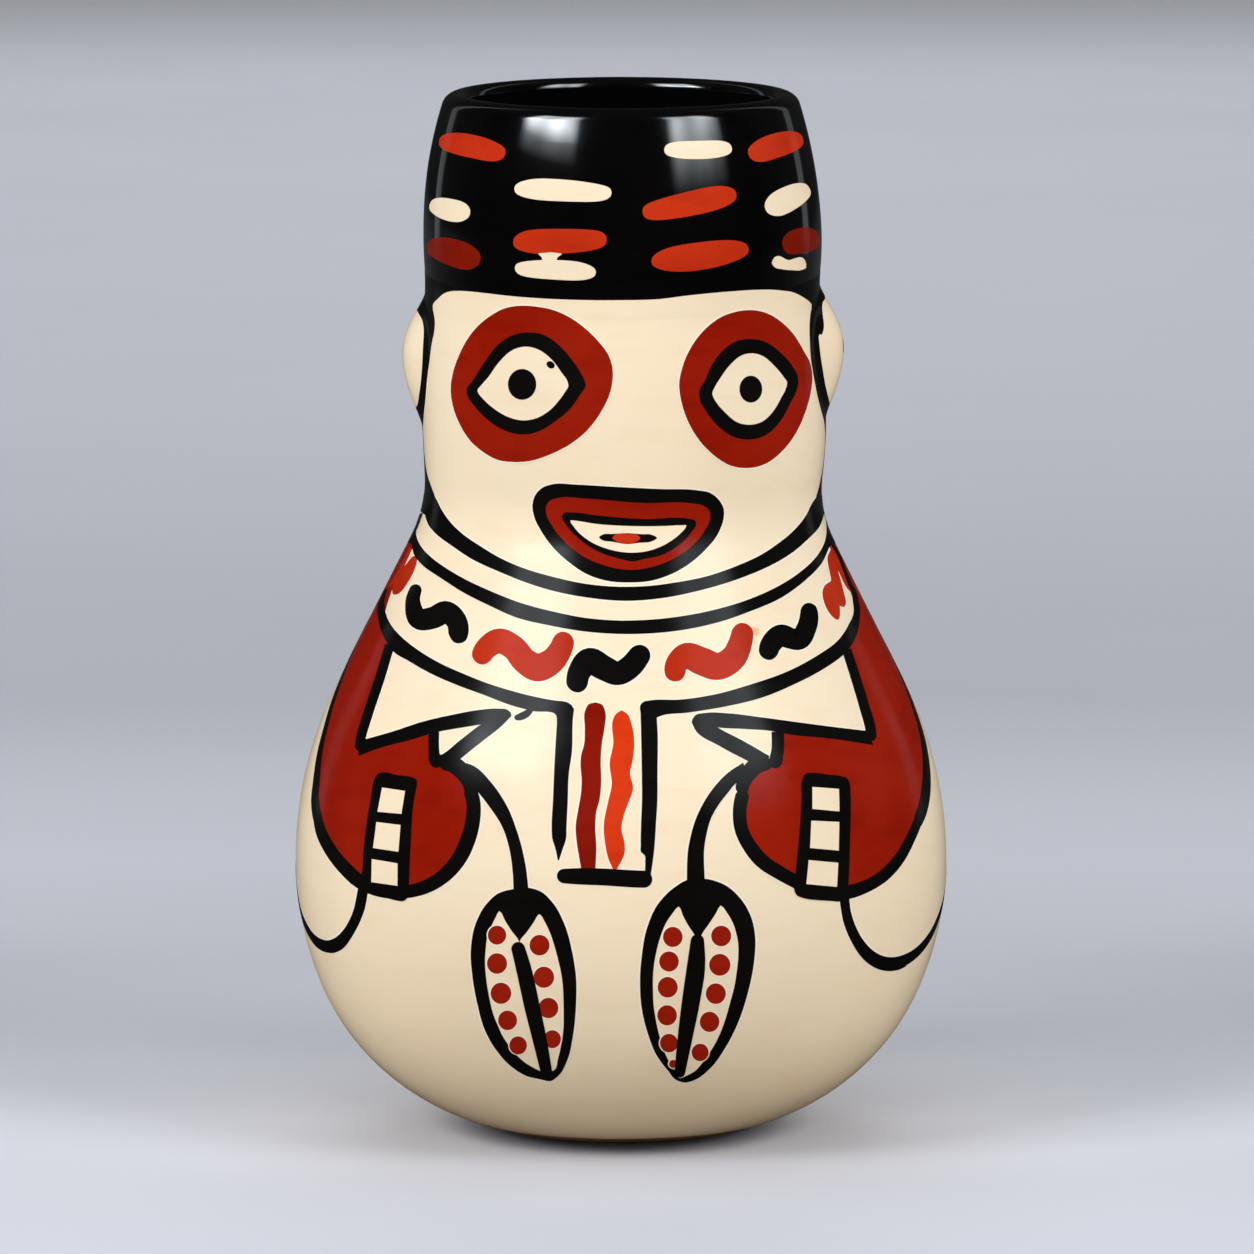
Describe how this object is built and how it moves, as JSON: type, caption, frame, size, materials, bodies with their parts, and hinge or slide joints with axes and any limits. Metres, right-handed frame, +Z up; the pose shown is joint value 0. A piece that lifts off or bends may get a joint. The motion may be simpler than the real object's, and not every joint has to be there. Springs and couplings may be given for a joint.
{
  "type": "painted effigy jar",
  "caption": "Open-mouthed painted clay jar: round belly, drawn-in waist, upright head-shaped neck with side ears and a wide rolled rim.",
  "frame": {"origin": "centre of the flat foot on the ground", "axes": "+Z up along the jar's axis, -Y out of the painted face, +X to the right of a person looking at the face"},
  "size_m": [0.138, 0.138, 0.22],
  "materials": {
    "cream_slip": "burnished cream slip with painted figures",
    "black_slip": "burnished near-black slip",
    "bare_clay": "worn fired clay at the foot",
    "inside_clay": "dark smoothed clay inside"
  },
  "bodies": {
    "root": {"foot_slab": "bare_clay", "base_seam_coil": "inside_clay", "lower_belly_wall": "cream_slip", "belly_seam_coil": "inside_clay", "upper_belly_wall": "cream_slip", "neck_seam_coil": "inside_clay", "face_wall": "cream_slip", "cap_wall": "black_slip", "rim_coil": "black_slip", "left_ear": "cream_slip", "right_ear": "cream_slip"}
  },
  "joints": []
}
